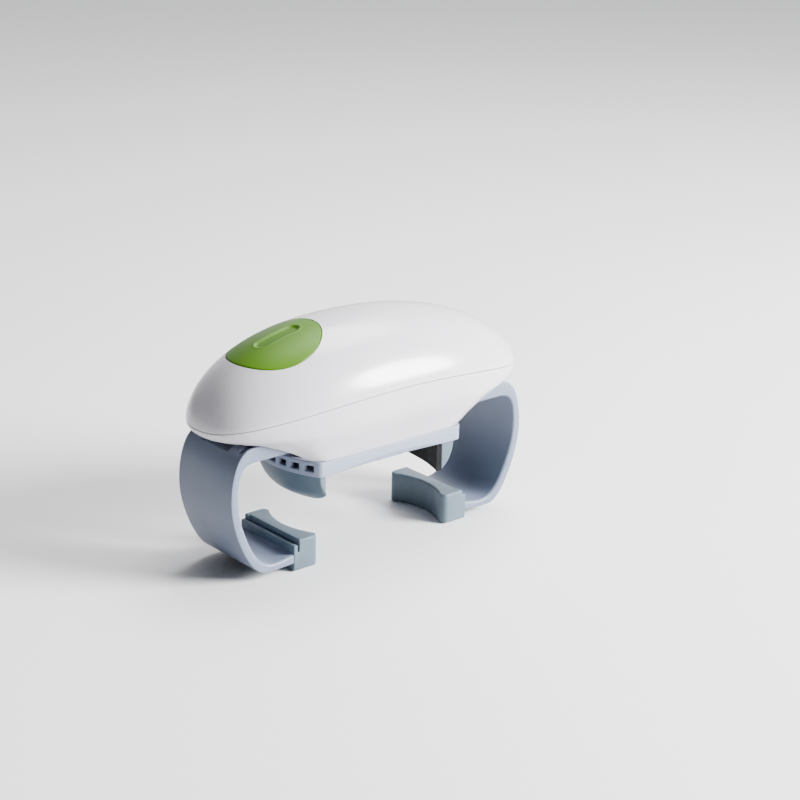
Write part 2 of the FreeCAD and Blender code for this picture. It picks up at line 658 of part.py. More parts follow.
def lid_pinion():
    body = gear(16, 1.0, 0, 0, 57.3, 60.3, math.pi / 2)
    body = fuse([body, cyl(0, 0, 56.9, 61.0, 5.2)])
    return body.cut(cyl(0, 0, 56, 62, JOURNAL_R + RUNNING))


# ---------------------------------------------------------------- frame and battery bay
def slide_guide():
    plate = box(-48, 48, -24.5, 24.5, SKIRT_Z + WALL, 69.6).cut(cyl(0, 0, 60, 75, 21.5))
    rails = [box(-22, 22, 20.3, 23.3, 69.5, 78.6), box(-22, 22, -23.3, -20.3, 69.5, 78.6)]
    return fuse([plate] + rails)


def battery_tray(inner):
    tray = box(BAY[0], BAY[1], -16.4, 16.4, SLOT_TOP + 1.8, 92.5)
    for y in (-7.7, 7.7):
        cell = Part.makeCylinder(7.5, BAY[1] - BAY[0] - 3, V(BAY[0] + 1.5, y, 94.0), V(1, 0, 0))
        tray = tray.cut(cell)
        for x in (BAY[0] + 0.5, BAY[1] - 1.6):
            tray = tray.cut(box(x, x + 1.1, y - 5.6, y + 5.6, 88.8, 100))
    for x, y in HOUSING_BOSSES:
        tray = tray.cut(cyl(x, y, 70, 110, 4.2))
    return tray.common(inner)


def battery_cells():
    cells = []
    for y, way in ((-7.7, 1), (7.7, -1)):
        start = BAY[0] + 2.3 if way == 1 else BAY[1] - 2.3
        body = Part.makeCylinder(7.2, 48.4, V(start, y, 94.0), V(way, 0, 0))
        body = body.makeFillet(0.6, [e for e in body.Edges if len(e.Vertexes) == 1])
        nub = Part.makeCylinder(2.7, 1.0, V(start + way * 48.2, y, 94.0), V(way, 0, 0))
        cells.append(body.fuse(nub))
    return Part.Compound(cells)


def battery_contacts():
    pieces = []
    for y, way in ((-7.7, 1), (7.7, -1)):
        for end, reach in ((0, 0.9), (1, 0.3)):
            x = BAY[0] + 1.0 if (way == 1) == (end == 0) else BAY[1] - 1.0
            inward = 1 if x < 70 else -1
            plate = Part.makeBox(0.4, 11, 11, V(min(x, x - inward * 0.4), y - 5.5, 88.9))
            bump = Part.makeCone(3.4, 1.8, reach, V(x, y, 94.0), V(inward, 0, 0))
            pieces.append(plate.fuse(bump))
    return Part.Compound(pieces)


def battery_door(outer, inner):
    door = outer.cut(inner).common(door_prism(0.0)).common(above_seam(0.5))
    inside = inner.cut(body_solid(WALL + 2.6)).common(door_prism(-2.0)).common(above_seam(0.5))
    ribs = [box(54 + 10 * n, 55.2 + 10 * n, 0, 60, 80, 140) for n in range(4)]
    return door.fuse(inside.common(Part.Compound(ribs))).removeSplitter()


def gear_axles():
    return Part.Compound([cyl(*xy, PLATE_LOW[0], PLATE_HIGH[1], 1.5) for xy in (SLOW_XY, FAST_XY)])


def screws(places, *size):
    """One screw of the same size at every place."""
    return Part.Compound([screw(x, y, *size) for x, y in places])


def save(name, shape):
    shape.exportStep("parts/" + name + ".step")


def main():
    os.makedirs("parts", exist_ok=True)
    outer = body_solid(0.0)
    inner = body_solid(WALL)
    skirt_outer = skirt_solid(0.0, 0.0)
    skirt_inner = skirt_solid(WALL, 2.0)
    pieces = {}
    pieces["upper_shell"] = upper_shell(outer, inner)
    pieces["lower_shell"] = lower_shell(skirt_outer, skirt_inner)
    pieces["housing_screws"] = screws(HOUSING_BOSSES, 84.0, 14.5, 1.45, 2.7, 1.9)
    pieces["button"] = button(outer, body_solid(2.4), body_solid(8.0))
    pieces["stem_clip"] = ring(BUTTON_X, 0, 103.4, 104.4, STEM_R - 0.8, STEM_R + 2.2)
    pieces["button_spring"] = button_spring()
    pieces["button_guide"] = button_guide()
    pieces["guide_screws"] = screws(GUIDE_POSTS, GUIDE_Z + 2, 9, 1.0, 2.0, 1.4, -1)
    pieces["circuit_board"] = circuit_board()
    pieces["board_parts"] = board_parts()
    pieces["switch"] = switch_case()
    pieces["switch_plunger"] = switch_plunger()
    pieces["turntable_block"] = turntable_block()
    pieces["turntable_cover"] = turntable_cover()
    pieces["cover_screws"] = screws(COVER_SCREWS, BLOCK_BOTTOM + 2.0, 6.2, 1.1, 2.0, 1.6)
    pieces["spindle"] = spindle()
    pieces["retaining_ring"] = ring(0, 0, 67.7, 69.2, HUB_R, HUB_R + 3.5)
    pieces["turntable_bush"] = ring(0, 0, SKIRT_Z + 0.1, 67.5, HUB_R + RUNNING, HUB_R + 2.5)
    pieces["drive_gear"] = drive_gear()
    pieces["compound_gear_slow"] = slow_gear()
    pieces["compound_gear_fast"] = fast_gear()
    pieces["motor_pinion"] = motor_pinion()
    pieces["motor_shaft"] = cyl(*MOTOR_XY, 92.0, 111.5, 1.0)
    pieces["motor"] = motor_can()
    pieces["gear_plate_lower"], pieces["gear_plate_upper"] = gear_plates()
    pieces["gear_axles"] = gear_axles()
    pieces["plate_pillars"] = plate_pillars()
    pieces["plate_screws"] = screws(PILLARS, PLATE_HIGH[1], 10, 1.2, 2.3, 1.5, -1)
    pieces["frame_screws"] = screws(FRAME_BOSSES, PLATE_LOW[1], 10, 1.2, 2.3, 1.5, -1)
    pieces["spindle_bush_lower"] = ring(0, 0, *PLATE_LOW, SPINDLE_R + RUNNING, 8.0)
    pieces["spindle_bush_upper"] = ring(0, 0, *PLATE_HIGH, SPINDLE_R + RUNNING, 8.0)
    pieces["slide_guide"] = slide_guide()
    pieces["arm_pinion"] = arm_pinion()
    pieces["lid_pinion"] = lid_pinion()
    pieces["battery_tray"] = battery_tray(skirt_inner)
    pieces["battery_cells"] = battery_cells()
    pieces["battery_contacts"] = battery_contacts()
    pieces["battery_door"] = battery_door(outer, inner)
    for name, make in (("arm", arm), ("arm_rack", arm_rack), ("arm_pad", arm_pad),
                       ("lid_jaw", lid_jaw), ("lid_pad", lid_pad), ("lid_slide", lid_slide)):
        right = make()
        pieces[name + "_right"] = right
        pieces[name + "_left"] = half_turn(right)
    for name, shape in pieces.items():
        save(name, shape)
        print(name, len(shape.Solids), shape.isValid(), round(shape.Volume, 1))


main()
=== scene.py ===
import json
import math

import bmesh
import bpy
from mathutils import Matrix, Vector


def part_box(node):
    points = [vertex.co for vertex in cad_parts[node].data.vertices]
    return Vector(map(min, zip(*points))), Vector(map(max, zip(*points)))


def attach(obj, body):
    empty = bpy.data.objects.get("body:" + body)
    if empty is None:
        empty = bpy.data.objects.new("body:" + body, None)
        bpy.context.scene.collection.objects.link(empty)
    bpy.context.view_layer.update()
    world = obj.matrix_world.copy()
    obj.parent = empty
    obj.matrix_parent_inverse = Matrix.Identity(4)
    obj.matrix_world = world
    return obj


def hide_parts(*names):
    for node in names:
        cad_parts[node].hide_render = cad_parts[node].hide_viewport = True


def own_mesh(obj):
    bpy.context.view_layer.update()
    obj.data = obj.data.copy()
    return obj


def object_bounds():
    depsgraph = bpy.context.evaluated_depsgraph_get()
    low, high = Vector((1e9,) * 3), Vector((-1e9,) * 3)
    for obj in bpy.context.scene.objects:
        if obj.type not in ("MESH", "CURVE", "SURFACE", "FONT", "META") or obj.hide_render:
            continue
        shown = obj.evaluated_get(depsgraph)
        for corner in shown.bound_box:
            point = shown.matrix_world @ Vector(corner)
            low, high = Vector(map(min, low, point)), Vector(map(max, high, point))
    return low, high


# One-button jar opener, in metres. +X runs along the body away from the button, and the
# camera looks from the button's end and from -Y.

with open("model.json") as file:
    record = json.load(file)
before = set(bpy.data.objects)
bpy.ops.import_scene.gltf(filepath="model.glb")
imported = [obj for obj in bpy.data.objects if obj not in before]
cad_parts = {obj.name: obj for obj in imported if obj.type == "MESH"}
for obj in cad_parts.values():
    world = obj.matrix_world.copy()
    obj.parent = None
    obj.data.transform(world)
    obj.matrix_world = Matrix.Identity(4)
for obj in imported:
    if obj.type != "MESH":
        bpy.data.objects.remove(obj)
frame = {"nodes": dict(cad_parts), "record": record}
cad_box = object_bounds()

# ---- camera ----
EYE = Vector((-0.6845, -0.8380, 0.4587))
TARGET = Vector((0.01881, -0.01609, 0.08068))
CAMERA_ROLL = math.radians(1.086)
LENS_MM = 90.58
SENSOR_MM = 36.0
NEAREST = 0.05

# ---- lights: place, width of the disk, watts ----
KEY = ((0.95, -1.15, 0.72), 0.8, 150.0)
TOP = ((0.55, 0.30, 1.35), 0.9, 24.0)
LIT_POINT = (0.0, 0.0, 0.07)
WORLD_TINT = (0.97, 0.98, 1.0)
WORLD_SPAN = (-0.2, 0.7)            # directions along X between which the world brightens
WORLD_STRENGTH = (0.05, 2.0)
FLOOR_SIZE = 40.0
FLOOR_GAP = 0.0005
FLOOR_TONES = ((0.76, 0.76, 0.77), (0.73, 0.73, 0.74))

# ---- finishes: colour, second colour it varies towards, roughness ----
WHITE = ((0.54, 0.53, 0.565), (0.505, 0.495, 0.54), 0.25)
LIME = ((0.058, 0.150, 0.0003), (0.047, 0.126, 0.0002), 0.42)
PALE_BLUE = ((0.215, 0.25, 0.335), (0.19, 0.225, 0.305), 0.40)
# The arms are pale blue-grey plastic; this colour is darkened to paint in the shade on their outer faces.
ARM_BLUE_PAINTED_SHADE = ((0.135, 0.163, 0.228), (0.116, 0.142, 0.203), 0.42)
SLATE = ((0.070, 0.105, 0.135), (0.058, 0.090, 0.118), 0.46)
NATURAL = ((0.72, 0.71, 0.66), (0.66, 0.65, 0.60), 0.45)
ACETAL = ((0.82, 0.80, 0.74), (0.77, 0.75, 0.69), 0.35)
GREY = ((0.20, 0.21, 0.23), (0.16, 0.17, 0.19), 0.5)
BLACK = ((0.022, 0.022, 0.024), (0.035, 0.035, 0.037), 0.42)
CELL_BLUE = ((0.03, 0.08, 0.28), (0.025, 0.065, 0.24), 0.28)
BLACK_RUBBER = ((0.004, 0.004, 0.005), (0.009, 0.009, 0.010), 0.75)
SLATE_RUBBER = (SLATE[0], SLATE[1], 0.55)
PLASTIC_GRAIN = 3200.0              # noise scale of the spark-eroded skin
RUBBER_PITS = 2600.0
METAL_LAY = (1.0, 1.0, 18.0)        # the lay lines are this much closer along Z


# ---------------------------------------------------------------- materials
def new_material(name):
    """Material with its node tree and its Principled shader."""
    mat = bpy.data.materials.new(name)
    mat.use_nodes = True
    tree = mat.node_tree
    return mat, tree, tree.nodes["Principled BSDF"]


def noise(tree, scale, detail=4.0, roughness=0.55):
    """Noise fixed to the object, mostly between 0.3 and 0.7."""
    coords = tree.nodes.new("ShaderNodeTexCoord")
    node = tree.nodes.new("ShaderNodeTexNoise")
    node.inputs["Scale"].default_value = scale
    node.inputs["Detail"].default_value = detail
    node.inputs["Roughness"].default_value = roughness
    tree.links.new(coords.outputs["Object"], node.inputs["Vector"])
    return node.outputs["Fac"]


def remap(tree, value, low, high, to_low, to_high):
    """Takes low..high to to_low..to_high and holds the ends."""
    node = tree.nodes.new("ShaderNodeMapRange")
    node.inputs["From Min"].default_value = low
    node.inputs["From Max"].default_value = high
    node.inputs["To Min"].default_value = to_low
    node.inputs["To Max"].default_value = to_high
    tree.links.new(value, node.inputs["Value"])
    return node.outputs["Result"]


def mixed(tree, factor, a, b):
    """Colour running from a to b; a and b are colours or sockets."""
    node = tree.nodes.new("ShaderNodeMix")
    node.data_type = "RGBA"
    tree.links.new(factor, node.inputs["Factor"])
    for name, value in (("A", a), ("B", b)):
        socket = next(s for s in node.inputs if s.name == name and s.type == "RGBA")
        if isinstance(value, tuple):
            socket.default_value = (*value, 1.0)
        else:
            tree.links.new(value, socket)
    return next(s for s in node.outputs if s.type == "RGBA")


def worn_edges(tree, amount):
    """0 on flat surfaces, up to amount on convex edges, broken up by noise."""
    geometry = tree.nodes.new("ShaderNodeNewGeometry")
    edge = remap(tree, geometry.outputs["Pointiness"], 0.52, 0.60, 0.0, amount)
    patches = remap(tree, noise(tree, 90.0, 6.0), 0.42, 0.62, 0.0, 1.0)
    node = tree.nodes.new("ShaderNodeMath")
    node.operation = "MULTIPLY"
    tree.links.new(edge, node.inputs[0])
    tree.links.new(patches, node.inputs[1])
    return node.outputs["Value"]


def bumps(tree, shader, layers):
    """Stacks bump layers of (height socket, strength, distance in metres) on the shader."""
    last = None
    for height, strength, distance in layers:
        node = tree.nodes.new("ShaderNodeBump")
        node.inputs["Strength"].default_value = strength
        node.inputs["Distance"].default_value = distance
        tree.links.new(height, node.inputs["Height"])
        if last is not None:
            tree.links.new(last, node.inputs["Normal"])
        last = node.outputs["Normal"]
    tree.links.new(last, shader.inputs["Normal"])


def moulded(name, finish, grain_depth=0.00002, coat=0.0, wear=0.25, gloss=0.5):
    """Injection-moulded plastic: faint flow colour, spark-eroded grain and rubbed edges."""
    colour, varied, rough = finish
    mat, tree, shader = new_material(name)
    flow = remap(tree, noise(tree, 14.0, 3.0), 0.35, 0.65, 0.0, 1.0)
    base = mixed(tree, flow, colour, varied)
    rubbed = tuple(min(0.9, c * 1.12 + 0.02) for c in colour)
    base = mixed(tree, worn_edges(tree, wear), base, rubbed)
    tree.links.new(base, shader.inputs["Base Color"])
    smears = remap(tree, noise(tree, 38.0, 5.0), 0.3, 0.7, rough - 0.05, rough + 0.06)
    tree.links.new(smears, shader.inputs["Roughness"])
    shader.inputs["IOR"].default_value = 1.49
    shader.inputs["Specular IOR Level"].default_value = gloss
    shader.inputs["Coat Weight"].default_value = coat
    shader.inputs["Coat Roughness"].default_value = 0.16
    grain = noise(tree, PLASTIC_GRAIN, 2.0)
    waves = noise(tree, 60.0, 2.0)
    bumps(tree, shader, [(grain, 0.30, grain_depth), (waves, 0.05, 0.0002)])
    return mat


def rubber(name, finish, sheen, gloss):
    """Soft elastomer: fine pitted skin, dusty patches and no coat."""
    colour, varied, rough = finish
    mat, tree, shader = new_material(name)
    dust = remap(tree, noise(tree, 55.0, 6.0, 0.65), 0.40, 0.72, 0.0, 1.0)
    base = mixed(tree, dust, colour, varied)
    base = mixed(tree, worn_edges(tree, 0.4), base, tuple(c * 1.3 + 0.004 for c in colour))
    tree.links.new(base, shader.inputs["Base Color"])
    smears = remap(tree, noise(tree, 120.0), 0.3, 0.7, rough - 0.06, rough + 0.08)
    tree.links.new(smears, shader.inputs["Roughness"])
    shader.inputs["IOR"].default_value = 1.52
    shader.inputs["Specular IOR Level"].default_value = gloss
    shader.inputs["Sheen Weight"].default_value = sheen
    shader.inputs["Sheen Roughness"].default_value = 0.5
    pits = noise(tree, RUBBER_PITS, 3.0, 0.7)
    bumps(tree, shader, [(pits, 0.45, 0.00004), (noise(tree, 160.0, 2.0), 0.10, 0.0002)])
    return mat


def metal(name, colour, rough):
    """Turned or drawn metal with fine lay lines and a few dull spots."""
    mat, tree, shader = new_material(name)
    coords = tree.nodes.new("ShaderNodeTexCoord")
    mapping = tree.nodes.new("ShaderNodeMapping")
    mapping.inputs["Scale"].default_value = METAL_LAY
    tree.links.new(coords.outputs["Object"], mapping.inputs["Vector"])
    lines = tree.nodes.new("ShaderNodeTexNoise")
    lines.inputs["Scale"].default_value = 700.0
    lines.inputs["Detail"].default_value = 3.0
    tree.links.new(mapping.outputs["Vector"], lines.inputs["Vector"])
    spots = remap(tree, noise(tree, 130.0, 5.0), 0.55, 0.75, 0.0, 0.6)
    base = mixed(tree, spots, colour, tuple(c * 0.72 for c in colour))
    tree.links.new(base, shader.inputs["Base Color"])
    shader.inputs["Metallic"].default_value = 1.0
    lay = remap(tree, lines.outputs["Fac"], 0.3, 0.7, rough - 0.07, rough + 0.09)
    tree.links.new(lay, shader.inputs["Roughness"])
    bumps(tree, shader, [(lines.outputs["Fac"], 0.25, 0.00002)])
    return mat


def circuit_green():
    """Solder mask over faint copper tracks."""
    mat, tree, shader = new_material("board_green")
    coords = tree.nodes.new("ShaderNodeTexCoord")
    tracks = tree.nodes.new("ShaderNodeTexBrick")
    tracks.inputs["Scale"].default_value = 180.0
    tracks.inputs["Mortar Size"].default_value = 0.06
    tracks.inputs["Color1"].default_value = (0.010, 0.085, 0.035, 1.0)
    tracks.inputs["Color2"].default_value = (0.012, 0.100, 0.040, 1.0)
    tracks.inputs["Mortar"].default_value = (0.030, 0.170, 0.060, 1.0)
    tree.links.new(coords.outputs["Object"], tracks.inputs["Vector"])
    tree.links.new(tracks.outputs["Color"], shader.inputs["Base Color"])
    smears = remap(tree, noise(tree, 80.0), 0.3, 0.7, 0.25, 0.38)
    tree.links.new(smears, shader.inputs["Roughness"])
    bumps(tree, shader, [(tracks.outputs["Fac"], 0.3, 0.00003)])
    return mat


MATERIALS = {
    "white_shell": moulded("white_shell", WHITE, grain_depth=0.00001, coat=0.35, wear=0.15),
    "lime_button": moulded("lime_button", LIME, grain_depth=0.00001, gloss=0.2),
    "pale_block": moulded("pale_block", PALE_BLUE),
    # slate_arm: the arms' pale blue-grey, darkened as painted shade.
    "slate_arm": moulded("slate_arm", ARM_BLUE_PAINTED_SHADE),
    "slate_jaw": moulded("slate_jaw", SLATE),
    "slate_rubber": rubber("slate_rubber", SLATE_RUBBER, sheen=0.10, gloss=0.45),
    "black_rubber": rubber("black_rubber", BLACK_RUBBER, sheen=0.0, gloss=0.12),
    "natural_plastic": moulded("natural_plastic", NATURAL),
    "acetal_gear": moulded("acetal_gear", ACETAL, coat=0.1),
    "grey_rack": moulded("grey_rack", GREY),
    "bush_brass": metal("bush_brass", (0.70, 0.50, 0.20), 0.32),
    "steel": metal("steel", (0.60, 0.60, 0.61), 0.30),
    "motor_steel": metal("motor_steel", (0.50, 0.50, 0.52), 0.38),
    "board_green": circuit_green(),
    "black_parts": moulded("black_parts", BLACK),
    "cell_wrap": moulded("cell_wrap", CELL_BLUE, coat=0.4),
}


def paint(obj, slot):
    """Gives obj the material of a slot and no other."""
    obj.data.materials.clear()
    obj.data.materials.append(MATERIALS[slot])


def paint_nodes():
    """Every CAD node takes the material of its slot in the record."""
    for part in frame["record"]["subparts"]:
        paint(frame["nodes"][part["node"]], part["material_slot"])


# ---------------------------------------------------------------- pieces
def make_piece(name, bm, body, slot, replaced, smooth_angle=32.0):
    """Mesh object from bm that rides on a body and stands for a CAD node."""
    bmesh.ops.recalc_face_normals(bm, faces=bm.faces)
    mesh = bpy.data.meshes.new(name)
    bm.to_mesh(mesh)
    bm.free()
    mesh.shade_smooth()
    mesh.set_sharp_from_angle(angle=math.radians(smooth_angle))
    obj = bpy.data.objects.new(name, mesh)
    bpy.context.scene.collection.objects.link(obj)
    paint(obj, slot)
    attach(obj, body)
    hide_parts(replaced)
    return obj


def catmull(points, steps):
    """Smooth run through points, steps samples to each span."""
    ends = [points[0]] + list(points) + [points[-1]]
    run = []
    for a, b, c, d in zip(ends, ends[1:], ends[2:], ends[3:]):
        for i in range(steps):
            t = i / steps
            run.append(tuple(0.5 * (2 * q + (r - p) * t + (2 * p - 5 * q + 4 * r - s) * t * t
                                    + (3 * q - p - 3 * r + s) * t ** 3)
                             for p, q, r, s in zip(a, b, c, d)))
    return run + [tuple(points[-1])]


def even(points, count):
    """The same run with count points at equal distances along it."""
    lengths = [0.0]
    for a, b in zip(points, points[1:]):
        lengths.append(lengths[-1] + math.dist(a, b))
    run = []
    span = 0
    for i in range(count):
        goal = lengths[-1] * i / (count - 1)
        while span < len(lengths) - 2 and lengths[span + 1] < goal:
            span += 1
        part = (goal - lengths[span]) / max(1e-9, lengths[span + 1] - lengths[span])
        run.append(tuple(p + (q - p) * min(1.0, part) for p, q in zip(points[span], points[span + 1])))
    return run


def band_section(outer, inner, half_width, r_outer, r_inner):
    """Rounded rectangle across the band: outer and inner are (x, z), the width runs along Y."""
    steps = 5
    o = Vector((outer[0], 0, outer[1]))
    i = Vector((inner[0], 0, inner[1]))
    out = (o - i).normalized()
    limit = 0.48 * (o - i).length
    corners = ((o, -1, out, 1), (o, 1, out, 1), (i, 1, -out, 0), (i, -1, -out, 0))
    loop = []
    for place, side, face, is_outer in corners:
        r = min(limit, r_outer if is_outer else r_inner)
        centre = place - face * r + Vector((0, side * (half_width - r), 0))
        for k in range(steps + 1):
            turn = math.pi / 2 * k / steps
            if side * (1 if is_outer else -1) > 0:
                turn = math.pi / 2 - turn
            loop.append(centre + face * (r * math.sin(turn)) + Vector((0, side * r * math.cos(turn), 0)))
    return loop


def skin(bm, rows):
    """Quads between neighbouring rows, each row being a closed loop of vertices."""
    count = len(rows[0])
    for a, b in zip(rows, rows[1:]):
        for k in range(count):
            bm.faces.new((a[k], a[(k + 1) % count], b[(k + 1) % count], b[k]))


def loft(bm, rings):
    """Closed tube through the rings, with flat ends."""
    rows = [[bm.verts.new(p) for p in ring] for ring in rings]
    skin(bm, rows)
    bm.faces.new(rows[0])
    bm.faces.new(list(reversed(rows[-1])))


# The body's top surface: half length and half width, height of the seam's tips, rise of the
# seam and of the crown above them, and how far the crown leans along X. The plan, the crown
# line and the curve across are superellipses with two powers each.
HALF_LENGTH = 0.110
HALF_WIDTH = 0.046
SEAM_TIP_Z = 0.0865
SEAM_ARCH = 0.0143
DOME = 0.0481
CROWN_LEAN = 0.065
PLAN_POWERS = (2.573, 2.3)
CROWN_POWERS = (2.209, 1.898)
ACROSS_POWERS = (2.05, 1.65)
LEAST_RISE = 0.00005                # the crown stays this far above the seam

BUTTON_X = -0.0585
BUTTON_RADII = (0.0265, 0.0253)
BUTTON_TURNS = 128                  # vertices round the button
BUTTON_ROWS = 60                    # rows from its middle to its rim
RIM = 0.0006
SKIRT = 0.0072
UNDERSIDE = (0.0026, 0.0028)        # depth below the top near the skirt and in the middle

THUMB_SLOT = (-0.0665, -0.0465)     # the finger recess runs between these places along X
THUMB_SLOT_R = 0.0046
THUMB_DEPTH = 0.0010
THUMB_SLOPE = 0.45                  # share of the radius over which the recess falls
THUMB_LIP = 0.00018
LIP_MIDDLE = 1.08                   # the lip's place and breadth, in radii of the recess
LIP_BREADTH = 0.10
LIP_END = 1.3

SPRING_WIRE = 0.0011
SPRING_TURNS = 4


def arch(t, powers):
    """Superellipse: 1 at t = 0 and 0 at t = 1 or -1."""
    return (1 - abs(t) ** powers[0]) ** (1 / powers[1])


def dome_z(x, y):
    """Height of the body's top surface."""
    u = x / HALF_LENGTH
    half = HALF_WIDTH * arch(u, PLAN_POWERS)
    crown = SEAM_TIP_Z + DOME * arch(u + CROWN_LEAN * (1 - u * u), CROWN_POWERS)
    base = min(SEAM_TIP_Z + SEAM_ARCH * (1 - u * u), crown - LEAST_RISE)
    return base + (crown - base) * arch(min(1.0, abs(y / half)), ACROSS_POWERS)


def recess_depth(x, y):
    """Long shallow finger recess with a fine raised lip round it."""
    along = min(max(x, THUMB_SLOT[0]), THUMB_SLOT[1])
    reach = math.hypot(x - along, y) / THUMB_SLOT_R
    if reach > LIP_END:
        return 0.0
    lip = -THUMB_LIP * math.exp(-((reach - LIP_MIDDLE) / LIP_BREADTH) ** 2)
    t = min(1.0, max(0.0, (1.0 - reach) / THUMB_SLOPE))
    return THUMB_DEPTH * t * t * (3 - 2 * t) + lip


def button_cap():
    """Oval button following the body's dome, with rounded rim, skirt and finger recess."""
    turns = BUTTON_TURNS
    bm = bmesh.new()

    def place(r, k, drop, below):
        angle = 2 * math.pi * k / turns
        x = BUTTON_X + r * BUTTON_RADII[0] * math.cos(angle)
        y = r * BUTTON_RADII[1] * math.sin(angle)
        top = dome_z(x, y) - (0.0 if below else recess_depth(x, y))
        return bm.verts.new((x, y, top - drop))

    # Each row is its share of the radii, its drop below the dome, and whether it is on the underside.
    edge = 1 - RIM / BUTTON_RADII[1]
    top = [(i / BUTTON_ROWS * edge, 0.0, False) for i in range(1, BUTTON_ROWS)]
    top += [(edge + (1 - edge) * math.sin(a), RIM * (1 - math.cos(a)), False)
            for a in [math.pi / 2 * i / 5 for i in range(6)]]
    under = [(1.0, SKIRT, True), (0.94, SKIRT, True), (0.93, UNDERSIDE[0], True), (0.5, UNDERSIDE[1], True)]
    rows = [[place(r, k, drop, below) for k in range(turns)] for r, drop, below in top + under]
    skin(bm, rows)
    for row, drop, below in ((rows[0], 0.0, False), (rows[-1], UNDERSIDE[1], True)):
        hub = place(0.0, 0, drop, below)
        for k in range(turns):
            bm.faces.new((hub, row[k], row[(k + 1) % turns]))
    make_piece("button_cap", bm, "button_body", "lime_button", "button", 50.0)


# The arm band's two sides in side view, as (x, z) from strap to foot on the +X side.
STRAP_INNER_END = 0.054
ARM_HALF_WIDTH = 0.0248
ARM_EDGES = (0.0007, 0.0019)        # rounding of the outer and the inner edges
ARM_SAMPLES = 96
ARM_OUTER = [(0.0900, 0.0790), (0.0946, 0.0781), (0.0992, 0.0746), (0.1026, 0.0684), (0.1048, 0.0600),
             (0.1056, 0.0520), (0.1052, 0.0436), (0.1035, 0.0350), (0.1006, 0.0262), (0.0966, 0.0176),
             (0.0918, 0.0100), (0.0866, 0.0054), (0.0810, 0.0039), (0.0636, 0.0045)]
ARM_INNER = [(0.0900, 0.0700), (0.0946, 0.0689), (0.0980, 0.0656), (0.0998, 0.0602), (0.1004, 0.0530),
             (0.1000, 0.0448), (0.0982, 0.0362), (0.0952, 0.0278), (0.0916, 0.0200), (0.0874, 0.0136),
             (0.0824, 0.0096), (0.0764, 0.0082), (0.0665, 0.0094), (0.0636, 0.0103)]

# Cuts in the band on the +X side. The strap's top has a broad recess and a groove on each side of it.
STRAP_CUT_X = (0.070, 0.112)
STRAP_CUT_TOP = 0.090
RECESS_HALF_WIDTH = 0.0125
RECESS_FLOOR = 0.075
GROOVE_Y = 0.02145
GROOVE_HALF_WIDTH = 0.00195
GROOVE_FLOOR = 0.076
OWN_RACK_SLOT = ((0.053, 0.01325, 0.069), (0.066, 0.020, 0.075))
OTHER_RACK_SLOT = ((0.053, -0.0208, 0.069), (0.0666, -0.0104, 0.0758))

JAW_EDGE = 0.0007
PAD_EDGE = 0.0006
BLOCK_EDGE = 0.0004


def box_mesh(bm, low, high):
    """Adds a plain box to bm."""
    made = bmesh.ops.create_cube(bm, size=1.0)
    size = [b - a for a, b in zip(low, high)]
    middle = [(a + b) / 2 for a, b in zip(low, high)]
    bmesh.ops.scale(bm, vec=size, verts=made["verts"])
    bmesh.ops.translate(bm, vec=middle, verts=made["verts"])


def coil_spring():
    """Return spring of the button: a steel wire coil that rides on the button's body."""
    low, high = (Vector(corner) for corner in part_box("button_spring"))
    wire = SPRING_WIRE / 2
    radius = (high.x - low.x) / 2 - wire
    steps = 40
    around = 10
    bm = bmesh.new()
    rings = []
    for i in range(SPRING_TURNS * steps + 1):
        angle = 2 * math.pi * i / steps
        height = low.z + wire + (high.z - low.z - 2 * wire) * i / (SPRING_TURNS * steps)
        out = Vector((math.cos(angle), math.sin(angle), 0))
        centre = Vector((BUTTON_X, 0, height)) + out * radius
        ring = []
        for k in range(around):
            a = 2 * math.pi * k / around
            ring.append(centre + out * (wire * math.cos(a)) + Vector((0, 0, wire * math.sin(a))))
        rings.append(ring)
    loft(bm, rings)
    obj = make_piece("button_coil", bm, "button_body", "steel", "button_spring", 50.0)
    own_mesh(obj)


def softened(node, body, slot, radius):
    """Copy of a CAD node with its sharp edges rounded to radius."""
    sharper_than = math.radians(33.0)
    bm = bmesh.new()
    bm.from_mesh(frame["nodes"][node].data)
    bmesh.ops.remove_doubles(bm, verts=bm.verts, dist=1e-6)
    bmesh.ops.dissolve_limit(bm, angle_limit=math.radians(0.4), verts=bm.verts, edges=bm.edges)
    sharp = [e for e in bm.edges if len(e.link_faces) == 2 and e.calc_face_angle() > sharper_than]
    bmesh.ops.bevel(bm, geom=sharp, offset=radius, segments=3, profile=0.5, affect="EDGES")
    make_piece(node + "_soft", bm, body, slot, node)


def carve(obj, boxes):
    """Cuts the boxes out of obj's mesh."""
    bm = bmesh.new()
    for low, high in boxes:
        box_mesh(bm, low, high)
    mesh = bpy.data.meshes.new("cutter")
    bm.to_mesh(mesh)
    bm.free()
    cutter = bpy.data.objects.new("cutter", mesh)
    bpy.context.scene.collection.objects.link(cutter)
    cut = obj.modifiers.new("cut", "BOOLEAN")
    cut.operation = "DIFFERENCE"
    cut.object = cutter
    cut.solver = "EXACT"
    bpy.context.view_layer.update()
    result = bpy.data.meshes.new_from_object(obj.evaluated_get(bpy.context.evaluated_depsgraph_get()))
    obj.modifiers.clear()
    obj.data = result
    bpy.data.objects.remove(cutter)


def strap_cuts():
    """Boxes cut from the +X arm: recess, grooves, and slots for its own and the other arm's rack."""
    near, far = STRAP_CUT_X
    cuts = [((near, -RECESS_HALF_WIDTH, RECESS_FLOOR), (far, RECESS_HALF_WIDTH, STRAP_CUT_TOP))]
    for middle in (-GROOVE_Y, GROOVE_Y):
        low = (near, middle - GROOVE_HALF_WIDTH, GROOVE_FLOOR)
        cuts.append((low, (far, middle + GROOVE_HALF_WIDTH, STRAP_CUT_TOP)))
    return cuts + [OWN_RACK_SLOT, OTHER_RACK_SLOT]


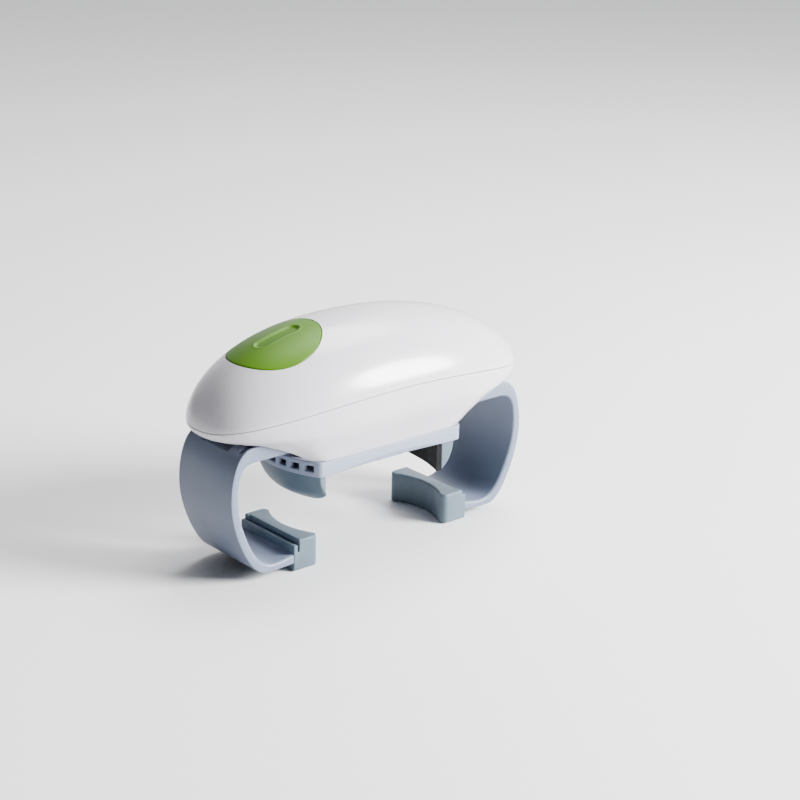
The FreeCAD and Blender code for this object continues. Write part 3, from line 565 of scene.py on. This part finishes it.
def arm(side, sign):
    """C-shaped arm: a band with a broad soft inner edge, cut where the strap meets the body."""
    outer = even(catmull(ARM_OUTER, 8), ARM_SAMPLES)
    inner = even(catmull(ARM_INNER, 8), ARM_SAMPLES)
    outer = [(STRAP_INNER_END, outer[0][1])] + outer
    inner = [(STRAP_INNER_END, inner[0][1])] + inner
    bm = bmesh.new()
    rings = [band_section(o, i, ARM_HALF_WIDTH, *ARM_EDGES) for o, i in zip(outer, inner)]
    loft(bm, rings)
    if sign < 0:
        bmesh.ops.rotate(bm, cent=(0, 0, 0), matrix=Matrix.Rotation(math.pi, 3, "Z"), verts=bm.verts)
    # The band takes the darkened arm colour, which paints in its shade.
    obj = make_piece("arm_band_" + side, bm, side + "_arm", "slate_arm", "arm_" + side)
    cuts = strap_cuts()
    if sign < 0:
        cuts = [((-high[0], -high[1], low[2]), (-low[0], -low[1], high[2])) for low, high in cuts]
    carve(obj, cuts)


# ---------------------------------------------------------------- studio
def area_light(name, place, size, watts):
    """Round soft light pointing at the object."""
    data = bpy.data.lights.new(name, "AREA")
    data.shape = "DISK"
    data.size = size
    data.energy = watts
    lamp = bpy.data.objects.new(name, data)
    bpy.context.scene.collection.objects.link(lamp)
    lamp.location = place
    lamp.rotation_euler = (Vector(LIT_POINT) - Vector(place)).to_track_quat("-Z", "Y").to_euler()


def pale_floor():
    """Wide matt floor just below the object."""
    bpy.ops.mesh.primitive_plane_add(size=FLOOR_SIZE, location=(0, 0, cad_box[0][2] - FLOOR_GAP))
    floor = bpy.context.object
    floor.name = "floor"
    mat, tree, shader = new_material("pale_floor")
    tone = remap(tree, noise(tree, 1.5, 3.0), 0.3, 0.7, 0.0, 1.0)
    tree.links.new(mixed(tree, tone, *FLOOR_TONES), shader.inputs["Base Color"])
    shader.inputs["Roughness"].default_value = 0.7
    floor.data.materials.append(mat)


def graded_world():
    """Surroundings that are nearly dark towards -X and bright towards +X."""
    world = bpy.data.worlds.new("studio")
    world.use_nodes = True
    tree = world.node_tree
    coords = tree.nodes.new("ShaderNodeTexCoord")
    split = tree.nodes.new("ShaderNodeSeparateXYZ")
    tree.links.new(coords.outputs["Generated"], split.inputs["Vector"])
    glow = remap(tree, split.outputs["X"], *WORLD_SPAN, *WORLD_STRENGTH)
    tree.links.new(glow, tree.nodes["Background"].inputs["Strength"])
    tree.nodes["Background"].inputs["Color"].default_value = (*WORLD_TINT, 1.0)
    bpy.context.scene.world = world


def studio():
    """Pale floor, strong key from the camera's right, weaker light from above, graded world."""
    pale_floor()
    area_light("key", *KEY)
    area_light("top", *TOP)
    graded_world()


def camera():
    """Camera at EYE looking at TARGET, turned a little about its own axis."""
    data = bpy.data.cameras.new("camera")
    data.lens = LENS_MM
    data.sensor_width = SENSOR_MM
    data.clip_start = NEAREST
    obj = bpy.data.objects.new("camera", data)
    bpy.context.scene.collection.objects.link(obj)
    forward = (TARGET - EYE).normalized()
    right = forward.cross(Vector((0, 0, 1))).normalized()
    up = right.cross(forward)
    right_rolled = right * math.cos(CAMERA_ROLL) + up * math.sin(CAMERA_ROLL)
    up_rolled = up * math.cos(CAMERA_ROLL) - right * math.sin(CAMERA_ROLL)
    turn = Matrix((right_rolled, up_rolled, -forward)).transposed().to_4x4()
    obj.matrix_world = Matrix.Translation(EYE) @ turn
    bpy.context.scene.camera = obj


paint_nodes()
button_cap()
coil_spring()
arm("right", 1)
arm("left", -1)
for side in ("left", "right"):
    softened("lid_jaw_" + side, "lid_" + side, "slate_jaw", JAW_EDGE)
    softened("arm_pad_" + side, side + "_arm", "slate_rubber", PAD_EDGE)
softened("turntable_block", "turntable", "pale_block", BLOCK_EDGE)
studio()
camera()
